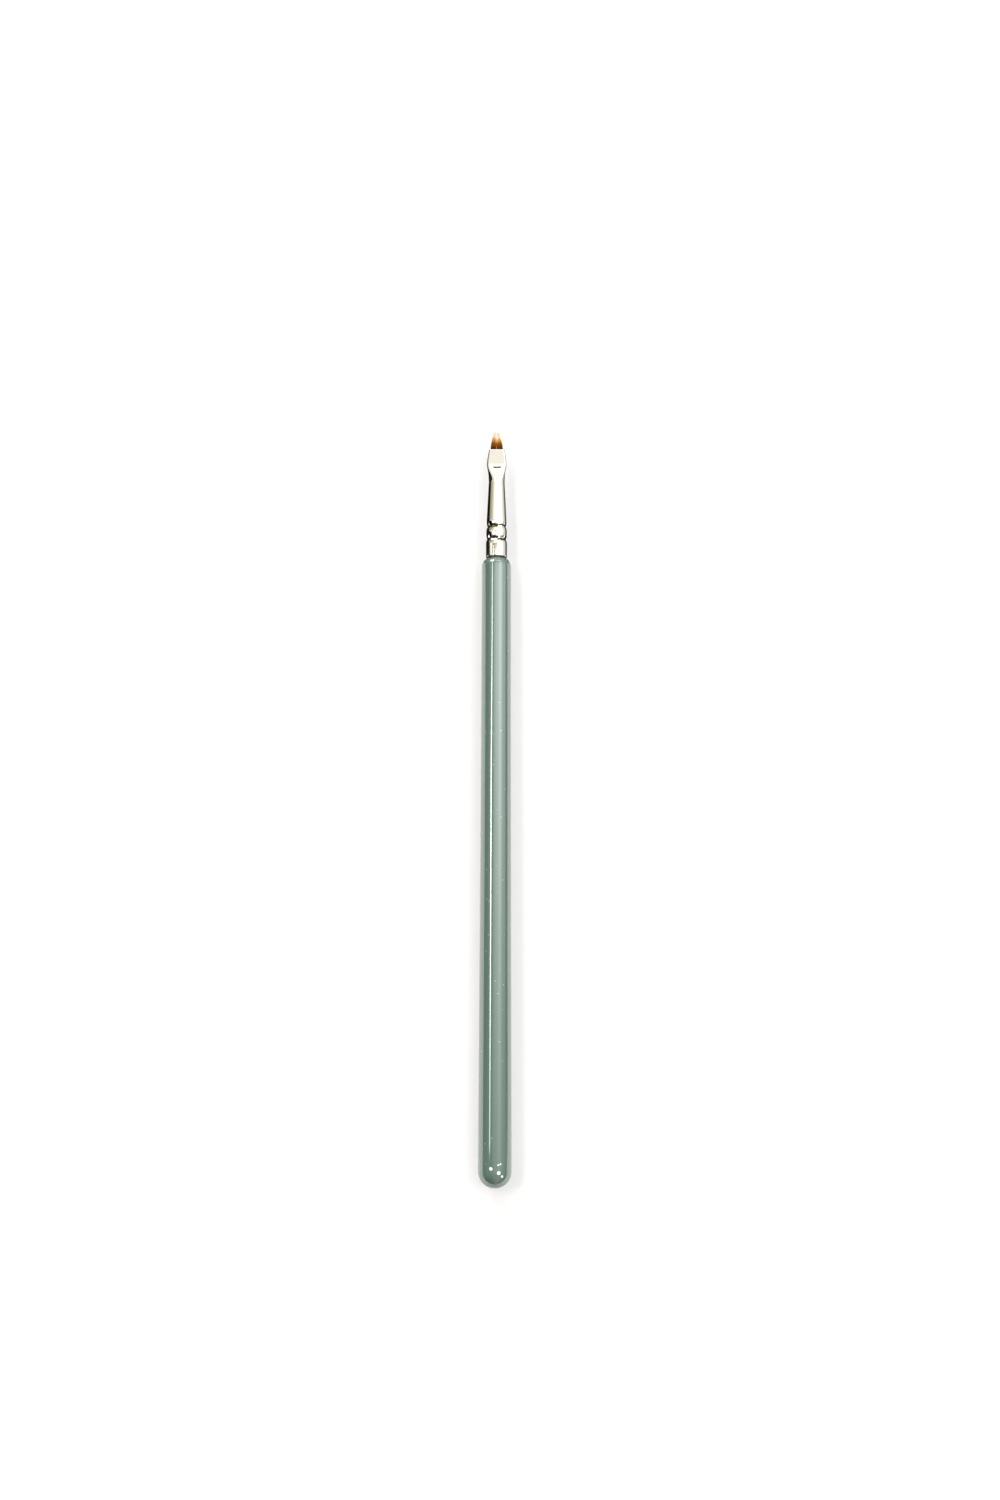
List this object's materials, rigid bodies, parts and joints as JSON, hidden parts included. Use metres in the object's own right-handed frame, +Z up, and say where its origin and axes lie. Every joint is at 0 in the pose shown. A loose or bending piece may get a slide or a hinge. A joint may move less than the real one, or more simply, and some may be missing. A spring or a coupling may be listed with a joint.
{
  "type": "eyeliner brush",
  "caption": "Slim cosmetic brush with a round lacquered wooden handle, a crimped metal ferrule pressed flat at the front, and a short flat tuft for drawing a fine line.",
  "frame": {"origin": "on the table under the middle of the brush, halfway between the butt and the hair tip", "axes": "+Y along the brush from the butt to the bristles, +Z up out of the wide flat face of the ferrule, X across it"},
  "size_m": [0.0076, 0.175, 0.0076],
  "materials": {
    "handle_lacquer": "grey-green gloss lacquer",
    "nickel_plate": "bright nickel plate",
    "cured_resin": "clear amber resin",
    "brown_filament": "brown tapered filament with pale tips"
  },
  "bodies": {
    "root": {"handle": "handle_lacquer", "ferrule": "nickel_plate", "glue_button": "cured_resin", "bristle_tuft": "brown_filament"}
  },
  "joints": []
}
